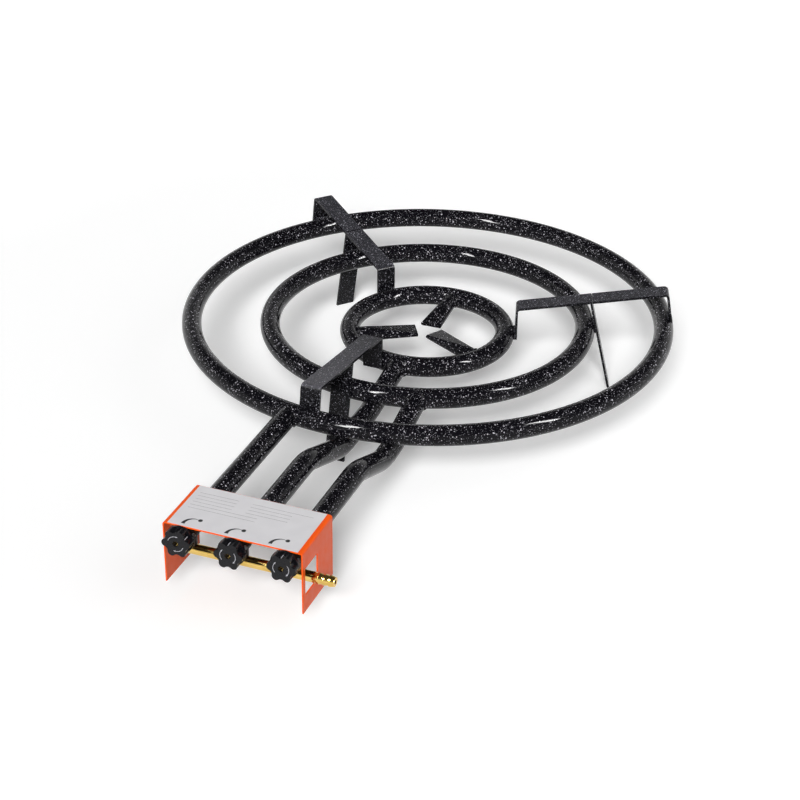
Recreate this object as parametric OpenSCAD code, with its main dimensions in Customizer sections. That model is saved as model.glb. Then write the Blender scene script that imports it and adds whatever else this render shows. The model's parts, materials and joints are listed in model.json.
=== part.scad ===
// Three-ring gas burner for large flat pans, on three splayed legs.
// Origin: axis of the rings, on the floor. +Y runs from the control box to the
// rings, +X is to the right as seen from the control box, +Z is up. Millimetres.

/* [Rings] */
// Centre-line radius of the outer ring
outer_ring_r = 300; // [280:1:320]
// Centre-line radius of the middle ring
middle_ring_r = 201; // [190:1:212]
// Centre-line radius of the inner ring
inner_ring_r = 99.5; // [94:0.5:110]
// Outside diameter of the ring and feed tube
tube_d = 25; // [23:0.5:27]
// Wall of the ring and feed tube
tube_wall = 2; // [1.2:0.1:2.6]
// Height of the outer ring's axis above the floor
outer_ring_z = 90; // [84:0.5:110]
// How far the middle ring lies below the outer one
middle_drop = 8; // [4:0.5:12]
// How far the inner ring lies below the outer one
inner_drop = 21.5; // [16:0.5:26]
// Diameter of a flame hole
flame_hole_d = 2.2; // [1.6:0.1:3]
// Spacing of the flame holes along a ring
flame_pitch = 10; // [8:0.5:20]
// Angle of the flame holes above the ring's plane, towards the centre
flame_angle = 52; // [48:1:70]

/* [Fingers] */
// Outside diameter of a finger tube
finger_d = 19; // [15:0.5:20]
// Wall of a finger tube
finger_wall = 1.5; // [1:0.1:2]
// Radius at which the flattened tips end
finger_tip_r = 14; // [11:0.5:22]
// Thickness of a flattened tip
finger_tip_t = 4.6; // [4:0.1:7]
// Width of a flattened tip
finger_tip_w = 28; // [22:0.5:30]

/* [Feed tubes] */
// From the axis of an outer feed tube to the outside of the box
feed_margin = 20; // [18:0.5:24]
// Distance from the ring axis to the open mouths of the feed tubes
feed_reach = 542; // [530:1:560]
// Bend radius of the S-bends
bend_r = 70; // [60:1:72]
// Horizontal length of an S-bend between its corner points
bend_run = 75; // [60:1:85]
// Length of the middle ring's tube under the outer ring, between its corner points
level_run = 32; // [30:1:40]
// How far before the outer ring's axis the S-bends end
dip_lead = 9; // [6:0.5:14]
// Clear height between the outer ring and the middle ring's tube that dips under it
outer_pass_gap = 3; // [1:0.5:5]
// How much deeper the inner ring's tube dips than the middle ring's
inner_dip = 8; // [4:0.5:11]
// Clear height between the middle ring and the tube that dips under it
middle_pass_gap = 3; // [1:0.5:6]
// Diameter of the hole in a ring where its feed tube enters
inlet_d = 15; // [10:0.5:17]

/* [Pan supports] */
// Width of the steel strip
strip_w = 25; // [18:0.5:26]
// Thickness of the steel strip
strip_t = 3; // [2:0.25:4]
// Height of the support's top above the inner ring's axis, at the inner end
inner_rise = 40.6; // [34:0.5:48]
// Height of the support's top above the outer ring's axis, at the outer end
outer_rise = 47; // [38:0.5:56]
// Slant of the outer tab, from vertical
tab_slant = 10; // [4:1:16]
// Splay of the legs, from vertical
leg_splay = 13.4; // [8:0.2:18]
// How far the inner tab reaches below the inner ring's axis
inner_tab_drop = 3; // [0:0.5:8]
// Bearing of the right support, from +X
right_bearing = 18; // [12:1:24]
// Bearing of the back support, from +X
back_bearing = 139.5; // [132:0.5:146]
// Clearance between the front leg and the feed tube beside it
front_leg_gap = 5; // [2:0.5:8]
// Bend radius of the strips, to the middle of the strip
strip_bend_r = 4; // [2.5:0.25:6]

/* [Control box] */
// Width over the side plates
box_w = 160; // [152:1:172]
// Depth of the box
box_d = 78; // [72:1:84]
// Height of the side plates, with the top
box_h = 75.5; // [68:0.5:80]
// Sheet thickness
sheet_t = 1.5; // [1:0.1:2]
// Outside radius of the two folds
fold_r = 3; // [2.4:0.1:4]
// Sideways offset of the box from the middle feed tube
box_shift = -2; // [-5:0.5:5]
// How far the box overhangs the mouths of the feed tubes
box_overhang = 30; // [26:0.5:36]
// Width of the hole in the right plate
port_w = 32; // [26:0.5:34]
// Height of the hole in the right plate
port_h = 33; // [28:0.5:36]
// How far the middle of that hole lies above the rail's axis
port_rise = 3; // [0:0.5:5]
// Margin of the label at the left and right
label_margin = 5.5; // [3:0.5:12]
// Thickness of the label
label_t = 0.3; // [0.2:0.05:0.6]
// Thread diameter of the cover screws
cover_screw_d = 4; // [3:0.5:5]

/* [Gas rail] */
// Outside diameter of the rail
rail_d = 12; // [11:0.5:13]
// Bore of the rail
rail_bore_d = 8; // [6:0.25:8.5]
// Depth of the rail's axis below the axis of the taps
rail_drop = 28; // [24:0.5:31]
// How far the rail reaches beyond the outer taps
rail_overhang = 12; // [9:0.5:14]
// Outside diameter of the hose tail, between its ridges
tail_d = 10.6; // [9.4:0.1:11.2]
// Outside diameter of the hose tail's ridges
ridge_d = 12.4; // [11.8:0.1:13.4]
// Length of the hose tail outside the box
tail_len = 24; // [20:0.5:34]
// Bore of the hose tail
tail_bore_d = 5; // [3:0.25:6]

/* [Taps] */
// Outside diameter of the tap barrel
barrel_d = 19; // [17:0.25:20]
// Large diameter of the tapered plug
plug_d1 = 13; // [11:0.25:13.5]
// Small diameter of the tapered plug
plug_d2 = 10; // [8.5:0.25:10.5]
// Running clearance around the plug and the spindle
run_gap = 0.05; // [0.03:0.01:0.09]
// Diameter of the spindle
spindle_d = 6; // [5:0.25:6.5]
// How far a knob is pushed in before it turns
push_travel = 2.5; // [1.5:0.1:2.8]
// How far the centre and right taps stand open at rest
rest_open = 55; // [0:1:90]
// Outside diameter of the threaded nose
nose_d = 9; // [8:0.25:9.5]
// Diameter of the injector's orifice
jet_d = 1; // [0.6:0.05:1.6]

/* [Knobs] */
// Diameter over the lobes
knob_d = 33; // [31:0.5:36]
// Depth of a knob
knob_depth = 11.5; // [10:0.1:14]
// Gap between a knob and the front edge of the box
knob_gap = 3; // [3:0.1:4]
// Thickness of the round skirt behind the lobes
skirt_t = 2.6; // [1.6:0.1:4]
// Radius of a lobe
lobe_r = 4.6; // [4:0.1:5.2]
// Number of lobes
lobes = 6; // [5:1:7]

/* [Hidden] */
$fn = 72;
eps = 0.01;
enamel = [0.09, 0.09, 0.1];
strip_grey = [0.16, 0.16, 0.17];
orange = [0.91, 0.33, 0.13];
paper = [0.93, 0.92, 0.92];
brass = [0.8, 0.62, 0.25];
black = [0.07, 0.07, 0.08];
steel = [0.68, 0.68, 0.7];

// Clearance where a tube or strip is welded to a ring
weld_gap = 0.2;
// Clearance of a seated or screwed piece
seat_gap = 0.05;
// How much a bend thins a tube or a strip, and how far the straight length laps it
bend_thinning = 0.24;
bend_lap = 0.1;
bore_d = tube_d - 2 * tube_wall;
middle_ring_z = outer_ring_z - middle_drop;
inner_ring_z = outer_ring_z - inner_drop;

// Where each feed tube lies, left to right, and where it meets its ring
feed_spacing = box_w / 2 - feed_margin;
feed_x = [-feed_spacing, 0, feed_spacing];
outer_entry_y = -sqrt(pow(outer_ring_r, 2) - pow(feed_spacing, 2));
middle_entry_y = -sqrt(pow(middle_ring_r, 2) - pow(feed_spacing, 2));
under_outer_z = outer_ring_z - tube_d - outer_pass_gap;
deep_z = under_outer_z - inner_dip;
under_middle_z = middle_ring_z - tube_d - middle_pass_gap;
dip_y = -outer_ring_r - dip_lead;
deep_y = dip_y + bend_run * inner_dip / (outer_ring_z - under_outer_z);
outer_route = [[-feed_reach, outer_ring_z], [outer_entry_y, outer_ring_z]];
middle_route = [[-feed_reach, outer_ring_z], [dip_y - bend_run, outer_ring_z], [dip_y, under_outer_z],
                [dip_y + level_run, under_outer_z], [middle_entry_y, middle_ring_z]];
inner_route = [[-feed_reach, outer_ring_z], [dip_y - bend_run, outer_ring_z], [deep_y, deep_z],
               [-middle_ring_r, under_middle_z], [-inner_ring_r, inner_ring_z]];

// Levels and places of the control box and the taps
box_top = outer_ring_z + tube_d / 2 + seat_gap + sheet_t;
box_front = -feed_reach - box_overhang;
box_back = box_front + box_d;
box_bottom = box_top - box_h;
axis_z = outer_ring_z;
rail_lead = 8;
rail_y = -feed_reach - rail_lead;
rail_z = axis_z - rail_drop;
knob_face = box_front - knob_gap - knob_depth;
barrel_lead = 11;
barrel_front = rail_y - barrel_lead;
barrel_back = rail_y + 5;
plug_back = rail_y + 3;
bonnet_front = box_front + 0.7;
bonnet_wall = 2.5;
bonnet_flange_t = 3;
bonnet_bore_d = 11;
flange_t = 4;
ear_x = 10;
ear_r = 3.4;
bonnet_screw_d = 2.6;
nose_back = -feed_reach + 6;
jet_len = 7;
jet_flats = 7;
spring_wire = 0.8;
spring_turns = 3.5;
collar_d = 9.4;
collar_t = 1.6;
tongue_t = 2.4;
tongue_w = 5.4;
plug_front = barrel_front + run_gap;
collar_back = bonnet_front + bonnet_wall + collar_t + 0.1;
// Turn of each tap's moving pieces: shut points up and to the right, opening is anticlockwise
shut_turn = 55;
tap_turn = [shut_turn, shut_turn - rest_open, shut_turn - rest_open];

// A straight tube, S-bend or longer run in the YZ plane, as one solid
function heading(a, b) = atan2(b[1] - a[1], b[0] - a[0]);
function turn_at(p, i) = heading(p[i], p[i + 1]) - heading(p[i - 1], p[i]);
function bend_setback(p, i, r) = r * tan(abs(turn_at(p, i)) / 2);
function setback(p, i) = (i == 0 || i == len(p) - 1) ? 0 : bend_setback(p, i, bend_r);

module tube_section(thin) {
    difference() {
        circle(d = tube_d - thin);
        circle(d = bore_d + thin);
    }
}

module elbow(angle) {
    flip = angle < 0 ? 1 : 0;
    mirror([0, 0, flip])
        translate([0, 0, bend_r])
            rotate([0, 90, 0])
                rotate_extrude(angle = abs(angle))
                    translate([bend_r, 0])
                        tube_section(bend_thinning);
}

module run(p) {
    for (i = [0 : len(p) - 2]) {
        length = norm(p[i + 1] - p[i]) - setback(p, i) - setback(p, i + 1);
        lap_in = i == 0 ? 0 : bend_lap;
        lap_out = i == len(p) - 2 ? 0 : bend_lap;
        translate([0, p[i][0], p[i][1]])
            rotate([heading(p[i], p[i + 1]), 0, 0])
                translate([0, setback(p, i), 0]) {
                    translate([0, -lap_in, 0])
                        rotate([-90, 0, 0])
                            linear_extrude(length + lap_in + lap_out)
                                tube_section(0);
                    if (i < len(p) - 2)
                        translate([0, length, 0])
                            elbow(turn_at(p, i + 1));
                }
    }
}

module torus(r, z, d) {
    translate([0, 0, z])
        rotate_extrude($fn = 180)
            translate([r, 0])
                circle(d = d);
}

// A cylinder along +Y from a point
module rod(x, y, z, d, length) {
    translate([x, y, z])
        rotate([-90, 0, 0])
            cylinder(d = d, h = length);
}

// Turns a tap's moving pieces, modelled on the tap's own axis, to their rest angle
module on_axis(i) {
    translate([feed_x[i], 0, axis_z])
        rotate([0, tap_turn[i], 0])
            children();
}

// The hole through which a feed tube blows into its ring
module inlet(x, route) {
    n = len(route);
    a = heading(route[n - 2], route[n - 1]);
    translate([x, route[n - 1][0], route[n - 1][1]])
        rotate([a, 0, 0])
            translate([0, -tube_d, 0])
                rotate([-90, 0, 0])
                    cylinder(d = inlet_d, h = tube_d);
}

// Flats outside and inside the wall, along the row of flame holes, for a straight drilling
land_w = 1.6 * flame_hole_d;
land_out = sqrt(pow(tube_d / 2, 2) - pow(land_w / 2, 2));
land_in = bore_d / 2 + 0.05;

module flame_land() {
    rotate(180 - flame_angle) {
        translate([land_out, -tube_d / 4])
            square([tube_wall, tube_d / 2]);
        translate([0, -land_w / 2])
            square([land_in, land_w]);
    }
}

module flame_holes(r, z) {
    count = floor(2 * PI * r / flame_pitch);
    for (i = [0 : count - 1])
        rotate([0, 0, (i + 0.5) * 360 / count])
            translate([r, 0, z])
                rotate([0, flame_angle - 90, 0])
                    cylinder(d = flame_hole_d, h = tube_d, $fn = 16);
}

module gas_ring(r, z) {
    color(enamel)
        difference() {
            translate([0, 0, z])
                rotate_extrude($fn = 180)
                    translate([r, 0])
                        difference() {
                            tube_section(0);
                            flame_land();
                        }
            flame_holes(r, z);
            children();
        }
}

module outer_ring() {
    gas_ring(outer_ring_r, outer_ring_z)
        inlet(feed_x[0], outer_route);
}

module middle_ring() {
    gas_ring(middle_ring_r, middle_ring_z)
        inlet(feed_x[2], middle_route);
}

finger_bearings = [90, 210, 330];

module inner_ring() {
    gas_ring(inner_ring_r, inner_ring_z) {
        inlet(feed_x[1], inner_route);
        for (a = finger_bearings)
            rotate([0, 0, a])
                translate([inner_ring_r - tube_d, 0, inner_ring_z])
                    rotate([0, 90, 0])
                        cylinder(d = finger_d - 2 * finger_wall - 2, h = tube_d);
    }
}

// A feed tube: open at its mouth, fitted round its ring, drilled for its cover screw
module feed(x, route, r, z) {
    color(enamel)
        difference() {
            translate([x, 0, 0])
                run(route);
            torus(r, z, tube_d + 2 * weld_gap);
            cover_screw_cut(x);
        }
}

module outer_feed() {
    feed(feed_x[0], outer_route, outer_ring_r, outer_ring_z);
}

module middle_feed() {
    feed(feed_x[2], middle_route, middle_ring_r, middle_ring_z);
}

module inner_feed() {
    feed(feed_x[1], inner_route, inner_ring_r, inner_ring_z);
}

finger_round_len = 14;

// A finger: a short tube off the inner ring, squeezed flat and wide at its tip
module finger_form(shrink, past) {
    round_d = finger_d - 2 * shrink;
    root = inner_ring_r - sqrt(pow(tube_d / 2, 2) - pow(finger_d / 2, 2)) + 1;
    squeeze_r = root - finger_round_len;
    tip_t = finger_tip_t - 2 * shrink;
    tip_w = finger_tip_w - 2 * shrink;
    translate([0, 0, inner_ring_z]) {
        translate([squeeze_r, 0, 0])
            rotate([0, 90, 0])
                cylinder(d = round_d, h = root - squeeze_r, $fn = 32);
        hull() {
            translate([squeeze_r, 0, 0])
                rotate([0, 90, 0])
                    cylinder(d = round_d, h = eps, $fn = 32);
            for (side = [-1, 1])
                translate([finger_tip_r - past, side * (tip_w - tip_t) / 2, 0])
                    rotate([0, 90, 0])
                        cylinder(d = tip_t, h = eps, $fn = 16);
        }
    }
}

module finger(bearing) {
    color(enamel)
        rotate([0, 0, bearing])
            difference() {
                finger_form(0, 0);
                finger_form(finger_wall, 1);
                torus(inner_ring_r, inner_ring_z, tube_d + 2 * weld_gap);
            }
}

module finger_back() {
    finger(finger_bearings[0]);
}

module finger_left() {
    finger(finger_bearings[1]);
}

module finger_right() {
    finger(finger_bearings[2]);
}

// A bend of a strip seen from its edge, after a heading of zero, with its start at the origin
module strip_bend(turn, r) {
    side = turn < 0 ? -1 : 1;
    far = 2 * (r + strip_t);
    half_t = (strip_t - bend_thinning) / 2;
    translate([0, side * r])
        intersection() {
            difference() {
                circle(r = r + half_t, $fn = 96);
                circle(r = r - half_t, $fn = 96);
            }
            polygon([[0, 0], [0, -side * far],
                     [far * sin(abs(turn) / 2), -side * far * cos(turn / 2)],
                     [far * sin(abs(turn)), -side * far * cos(turn)]]);
        }
}

// A bent strip seen from its edge: a path in the plane of distance and height, and the
// bend radius at each point of it; where that is none, the corner is only rounded outside
module strip_path(p, r) {
    for (i = [0 : len(p) - 2]) {
        from = r[i] > 0 ? bend_setback(p, i, r[i]) : 0;
        to = r[i + 1] > 0 ? bend_setback(p, i + 1, r[i + 1]) : 0;
        length = norm(p[i + 1] - p[i]) - from - to;
        lap_in = r[i] > 0 ? bend_lap : 0;
        lap_out = r[i + 1] > 0 ? bend_lap : 0;
        translate(p[i])
            rotate(heading(p[i], p[i + 1]))
                translate([from, 0]) {
                    translate([-lap_in, -strip_t / 2])
                        square([length + lap_in + lap_out, strip_t]);
                    if (r[i + 1] > 0)
                        translate([length, 0])
                            strip_bend(turn_at(p, i + 1), r[i + 1]);
                }
        if (i > 0 && r[i] == 0)
            translate(p[i])
                circle(d = strip_t, $fn = 32);
    }
}

// Stands a profile upright along a bearing and gives it the strip's width
module strip(bearing, offset) {
    rotate([0, 0, bearing])
        translate([0, offset, 0])
            rotate([90, 0, 0])
                translate([0, 0, -strip_w / 2])
                    linear_extrude(strip_w)
                        children();
}

// The front support runs along Y, to the left of the feed tube in the middle
front_offset = -(tube_d + strip_w) / 2 - front_leg_gap;

// Where the strip meets a ring: along a support that passes beside the ring's
// centre, the edge of the strip that is nearer the centre touches first
function reach(r, offset) = sqrt(pow(r, 2) - pow(max(0, abs(offset) - strip_w / 2), 2));
function tab_u(offset) = reach(inner_ring_r + tube_d / 2, offset) + weld_gap + strip_t / 2;
function bar_inner(offset) = [tab_u(offset), inner_ring_z + inner_rise - strip_t / 2];
function bar_outer(offset) = [reach(outer_ring_r, offset) + 2, outer_ring_z + outer_rise - strip_t / 2];
function bar_slope(offset) = heading(bar_inner(offset), bar_outer(offset));
function leg_off() = tube_d / 2 + weld_gap + strip_t / 2;
function leg_mid(offset) = [reach(middle_ring_r, offset) + leg_off() * cos(leg_splay) + weld_gap,
                            middle_ring_z + leg_off() * sin(leg_splay)];
// The bend from bar to leg lies on both the bar's and the leg's centre line
function knee_u(offset) =
    (leg_mid(offset)[0] + tan(leg_splay) * (leg_mid(offset)[1] - bar_inner(offset)[1]
     + tan(bar_slope(offset)) * bar_inner(offset)[0])) / (1 + tan(leg_splay) * tan(bar_slope(offset)));
function bar_z(offset, u) = bar_inner(offset)[1] + tan(bar_slope(offset)) * (u - bar_inner(offset)[0]);
function knee(offset) = [knee_u(offset), bar_z(offset, knee_u(offset))];

// Inner tab, inner half of the bar, and the leg, bent from one strip
module leg_strip(bearing, offset) {
    k = knee(offset);
    color(strip_grey)
        strip(bearing, offset)
            intersection() {
                strip_path([[tab_u(offset), inner_ring_z - inner_tab_drop], bar_inner(offset), k,
                            [k[0] + tan(leg_splay) * (k[1] + strip_t), -strip_t]],
                           [0, strip_bend_r, 0, 0]);
                square([outer_ring_r * 2, outer_ring_z * 3]);
            }
}

// Outer half of the bar and its tab, fitted down on the outer ring and clear of its feed tube
module bar_strip(bearing, offset) {
    start = knee_u(offset) + strip_t / 2 + 0.3;
    o = bar_outer(offset);
    down = outer_rise - strip_t / 2 - 6;
    color(strip_grey)
        difference() {
            strip(bearing, offset)
                strip_path([[start, bar_z(offset, start)], o, [o[0] + tan(tab_slant) * down, o[1] - down]],
                           [0, strip_bend_r, 0]);
            torus(outer_ring_r, outer_ring_z, tube_d + 2 * weld_gap);
            rod(feed_x[0], -feed_reach, outer_ring_z, tube_d + 2 * weld_gap, feed_reach + outer_entry_y);
        }
}

module right_leg_strip() {
    leg_strip(right_bearing, 0);
}

module back_leg_strip() {
    leg_strip(back_bearing, 0);
}

module front_leg_strip() {
    leg_strip(-90, front_offset);
}

module right_bar_strip() {
    bar_strip(right_bearing, 0);
}

module back_bar_strip() {
    bar_strip(back_bearing, 0);
}

module front_bar_strip() {
    bar_strip(-90, front_offset);
}

// Sheet box, open at the front, back and below
module box_outline(inset, r) {
    w = box_w - 2 * inset;
    h = box_h - inset;
    translate([-w / 2, 0])
        square([w, h - r]);
    translate([-w / 2 + r, 0])
        square([w - 2 * r, h]);
    for (side = [-1, 1])
        translate([side * (w / 2 - r), h - r])
            circle(r = r, $fn = 48);
}

module control_box() {
    color(orange)
        difference() {
            translate([box_shift, box_back, box_bottom])
                rotate([90, 0, 0])
                    linear_extrude(box_d)
                        difference() {
                            box_outline(0, fold_r);
                            translate([0, -eps])
                                box_outline(sheet_t, fold_r - sheet_t);
                        }
            translate([box_shift + box_w / 2 - 2 * sheet_t, rail_y - port_w / 2, rail_z + port_rise - port_h / 2])
                cube([4 * sheet_t, port_w, port_h]);
            for (x = feed_x)
                cover_screw_cut(x);
        }
}

// Countersunk screws that hold the box down on the feed tubes, under the label
cover_screw_y = (box_back - feed_reach) / 2;
cover_head_d = 2 * cover_screw_d;
cover_screw_len = 2 * cover_screw_d;

module cover_screw(x, grow) {
    head_h = (cover_head_d - cover_screw_d) / 2;
    translate([x, cover_screw_y, box_top - head_h]) {
        cylinder(d1 = cover_screw_d + 2 * grow, d2 = cover_head_d + 2 * grow, h = head_h);
        translate([0, 0, -cover_screw_len])
            cylinder(d = cover_screw_d + 2 * grow, h = cover_screw_len);
    }
}

module cover_screw_cut(x) {
    cover_screw(x, seat_gap);
}

module cover_screws() {
    color(steel)
        for (x = feed_x)
            difference() {
                cover_screw(x, 0);
                translate([x - 0.5, cover_screw_y - cover_head_d / 2, box_top - 0.8])
                    cube([1, cover_head_d, 1]);
            }
}

module box_label() {
    edge = 0.6;
    color(paper)
        translate([box_shift - box_w / 2 + label_margin, box_front + edge, box_top])
            cube([box_w - 2 * label_margin, box_d - 2 * edge, label_t]);
}

// Brass rail under the taps, plugged at the left, with the hose tail at the right
rail_left = feed_x[0] - rail_overhang;
rail_right = box_shift + box_w / 2 + 3;
thread_len = 8;
thread_d = rail_bore_d - 2 * seat_gap;
spigot_d = 6;

module bar_x(x, d, length) {
    translate([x, rail_y, rail_z])
        rotate([0, 90, 0])
            cylinder(d = d, h = length);
}

module gas_rail() {
    color(brass)
        difference() {
            bar_x(rail_left, rail_d, rail_right - rail_left);
            bar_x(rail_left - 1, rail_bore_d, rail_right - rail_left + 2);
            for (x = feed_x)
                translate([x, rail_y, rail_z])
                    cylinder(d = spigot_d + 2 * seat_gap, h = rail_d);
        }
}

module rail_plug() {
    color(brass) {
        bar_x(rail_left - 2, rail_d, 2);
        bar_x(rail_left - eps, thread_d, thread_len);
    }
}

tail_flange_t = 2;
tail_stem = 2.5;
ridge_len = (tail_len - tail_flange_t - tail_stem) / 3;
ridge_land = 2;
ridge_gap = 0.4;

module hose_tail() {
    color(brass)
        difference() {
            union() {
                bar_x(rail_right - thread_len, thread_d, thread_len + eps);
                bar_x(rail_right, rail_d, tail_flange_t);
                bar_x(rail_right + tail_flange_t - eps, tail_d, tail_len - tail_flange_t);
                for (i = [0 : 2])
                    translate([rail_right + tail_flange_t + tail_stem + i * ridge_len, rail_y, rail_z])
                        rotate([0, 90, 0])
                            rotate_extrude()
                                polygon([[0, 0], [ridge_d / 2, 0], [ridge_d / 2, ridge_land],
                                         [tail_d / 2, ridge_len - ridge_gap], [0, ridge_len - ridge_gap]]);
            }
            bar_x(rail_right - thread_len - 1, tail_bore_d, tail_len + thread_len + 2);
        }
}

// Bridge across a tube's mouth that carries a tap by its nose and lets air in
module bridge(x) {
    hub_d = nose_d + 4;
    arm_w = 4;
    bridge_len = 5;
    color(steel)
        difference() {
            intersection() {
                rod(x, -feed_reach + 0.5, axis_z, bore_d - 2 * seat_gap, bridge_len);
                union() {
                    rod(x, -feed_reach, axis_z, hub_d, bridge_len + 1);
                    for (a = [90, 210, 330])
                        translate([x, -feed_reach, axis_z])
                            rotate([0, a, 0])
                                translate([0, 0, -arm_w / 2])
                                    cube([bore_d, bridge_len + 1, arm_w]);
                }
            }
            rod(x, -feed_reach - 1, axis_z, nose_d + 2 * seat_gap, bridge_len + 3);
        }
}

module left_bridge() {
    bridge(feed_x[0]);
}

module centre_bridge() {
    bridge(feed_x[1]);
}

module right_bridge() {
    bridge(feed_x[2]);
}

// Oval flange that joins the tap body and its bonnet
module flange(x, y, length) {
    translate([x, y, axis_z])
        rotate([-90, 0, 0])
            linear_extrude(length) {
                circle(d = barrel_d);
                translate([-ear_x, -ear_r])
                    square([2 * ear_x, 2 * ear_r]);
                for (side = [-1, 1])
                    translate([side * ear_x, 0])
                        circle(r = ear_r, $fn = 32);
            }
}

module bonnet_screw_holes(x, grow) {
    for (side = [-1, 1])
        rod(x + side * ear_x, barrel_front - 2 * bonnet_flange_t, axis_z, bonnet_screw_d + 2 * grow,
            2 * (bonnet_flange_t + flange_t));
}

// The tapered seat or plug, between two places along the axis
function plug_dia(y) = plug_d1 + (plug_d2 - plug_d1) * (y - plug_front) / (plug_back - plug_front);

module plug_cone(x, z, y0, y1, grow) {
    translate([x, y0, z])
        rotate([-90, 0, 0])
            cylinder(d1 = plug_dia(y0) + 2 * grow, d2 = plug_dia(y1) + 2 * grow, h = y1 - y0);
}

port_d = 3.6;
nose_bore_d = 4.4;
stem_d = 0.63 * barrel_d;

module tap_body(x) {
    color(black)
        difference() {
            union() {
                rod(x, barrel_front, axis_z, barrel_d, barrel_back - barrel_front);
                flange(x, barrel_front, flange_t);
                rod(x, barrel_back - eps, axis_z, nose_d, nose_back - barrel_back + eps);
                translate([x, rail_y, rail_z + rail_d / 2 + 0.1])
                    cylinder(d = stem_d, h = rail_drop - rail_d / 2 - barrel_d / 4);
                translate([x, rail_y, rail_z + rail_bore_d / 2])
                    cylinder(d = spigot_d, h = rail_drop - rail_bore_d / 2 - barrel_d / 4);
            }
            plug_cone(x, axis_z, barrel_front - 2, plug_back + 0.2, run_gap);
            rod(x, plug_back - 1, axis_z, nose_bore_d, nose_back - plug_back + 2);
            translate([x, rail_y, rail_z])
                cylinder(d = port_d, h = rail_drop);
            bonnet_screw_holes(x, 0);
        }
}

module left_tap_body() {
    tap_body(feed_x[0]);
}

module centre_tap_body() {
    tap_body(feed_x[1]);
}

module right_tap_body() {
    tap_body(feed_x[2]);
}

// Cap that keeps the spindle and the spring in the tap
module bonnet(x) {
    cap_d = bonnet_bore_d + 4;
    flange_y = barrel_front - bonnet_flange_t;
    color(black)
        difference() {
            union() {
                rod(x, bonnet_front, axis_z, cap_d, barrel_front - bonnet_front);
                flange(x, flange_y, barrel_front - flange_y);
            }
            rod(x, bonnet_front + bonnet_wall, axis_z, bonnet_bore_d, barrel_front - bonnet_front);
            rod(x, bonnet_front - 1, axis_z, spindle_d + 2 * run_gap, bonnet_wall + 2);
            bonnet_screw_holes(x, seat_gap);
        }
}

module left_bonnet() {
    bonnet(feed_x[0]);
}

module centre_bonnet() {
    bonnet(feed_x[1]);
}

module right_bonnet() {
    bonnet(feed_x[2]);
}

module bonnet_screws() {
    head_d = 4.8;
    head_h = 1.8;
    head_y = barrel_front - bonnet_flange_t - head_h;
    color(steel)
        for (x = feed_x)
            for (side = [-1, 1])
                difference() {
                    union() {
                        rod(x + side * ear_x, head_y, axis_z, head_d, head_h);
                        rod(x + side * ear_x, head_y + eps, axis_z, bonnet_screw_d - 2 * seat_gap, head_h + 6.5);
                    }
                    translate([x + side * ear_x - 0.4, head_y - 0.2, axis_z - head_d / 2])
                        cube([0.8, 1.2, head_d]);
                }
}

// Plug that turns in the body: a port in its side, a bore to the nose, a slot for the spindle
tongue_back = plug_front + 3.8;
slot_end = tongue_back + push_travel + 0.4;

module tap_plug(i) {
    color(brass)
        on_axis(i)
            difference() {
                plug_cone(0, 0, plug_front, plug_back, 0);
                rod(0, rail_y - 2, 0, port_d, plug_back - rail_y + 3);
                translate([0, rail_y, 0])
                    rotate([0, -90 - shut_turn, 0])
                        cylinder(d = port_d, h = plug_d1);
                translate([-tongue_w / 2 - run_gap, plug_front - 1, -tongue_t / 2 - run_gap])
                    cube([tongue_w + 2 * run_gap, slot_end - plug_front + 1, tongue_t + 2 * run_gap]);
            }
}

module left_plug() {
    tap_plug(0);
}

module centre_plug() {
    tap_plug(1);
}

module right_plug() {
    tap_plug(2);
}

// Spindle: carries the knob on a flat, pushes the spring with its collar, turns the plug
spindle_front = knob_face + 4;
flat_depth = 1.2;

module spindle(i) {
    color(brass)
        on_axis(i)
            difference() {
                union() {
                    rod(0, spindle_front, 0, spindle_d, plug_front - 0.4 - push_travel - spindle_front);
                    rod(0, collar_back - collar_t, 0, collar_d, collar_t);
                    translate([-tongue_w / 2, collar_back - 0.5, -tongue_t / 2])
                        cube([tongue_w, tongue_back - collar_back + 0.5, tongue_t]);
                }
                translate([-spindle_d, spindle_front - 1, spindle_d / 2 - flat_depth])
                    cube([2 * spindle_d, knob_face + knob_depth - spindle_front + 1, spindle_d]);
            }
}

module left_spindle() {
    spindle(0);
}

module centre_spindle() {
    spindle(1);
}

module right_spindle() {
    spindle(2);
}

// Return spring between the collar and the plug: a wire of six sides along a helix
spring_from = collar_back + 0.1 + spring_wire / 2;
spring_to = plug_front - 0.1 - spring_wire / 2;
spring_mean_r = spindle_d / 2 + 0.5 + spring_wire / 2;
spring_steps = floor(spring_turns * 14);

function helix_point(i, k) =
    let (t = i / spring_steps, a = 360 * spring_turns * t, b = 60 * k,
         r = spring_mean_r + spring_wire / 2 * cos(b))
    [r * cos(a), spring_from + (spring_to - spring_from) * t + spring_wire / 2 * sin(b), r * sin(a)];

module spring(i) {
    points = [for (i = [0 : spring_steps]) for (k = [0 : 5]) helix_point(i, k)];
    sides = [for (i = [0 : spring_steps - 1]) for (k = [0 : 5])
        let (a = 6 * i + k, b = 6 * i + (k + 1) % 6)
        each [[a, b, b + 6], [a, b + 6, a + 6]]];
    last = 6 * spring_steps;
    ends = [for (k = [1 : 4]) each [[0, k + 1, k], [last, last + k, last + k + 1]]];
    color(steel)
        on_axis(i)
            polyhedron(points, concat(sides, ends));
}

module left_spring() {
    spring(0);
}

module centre_spring() {
    spring(1);
}

module right_spring() {
    spring(2);
}

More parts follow.
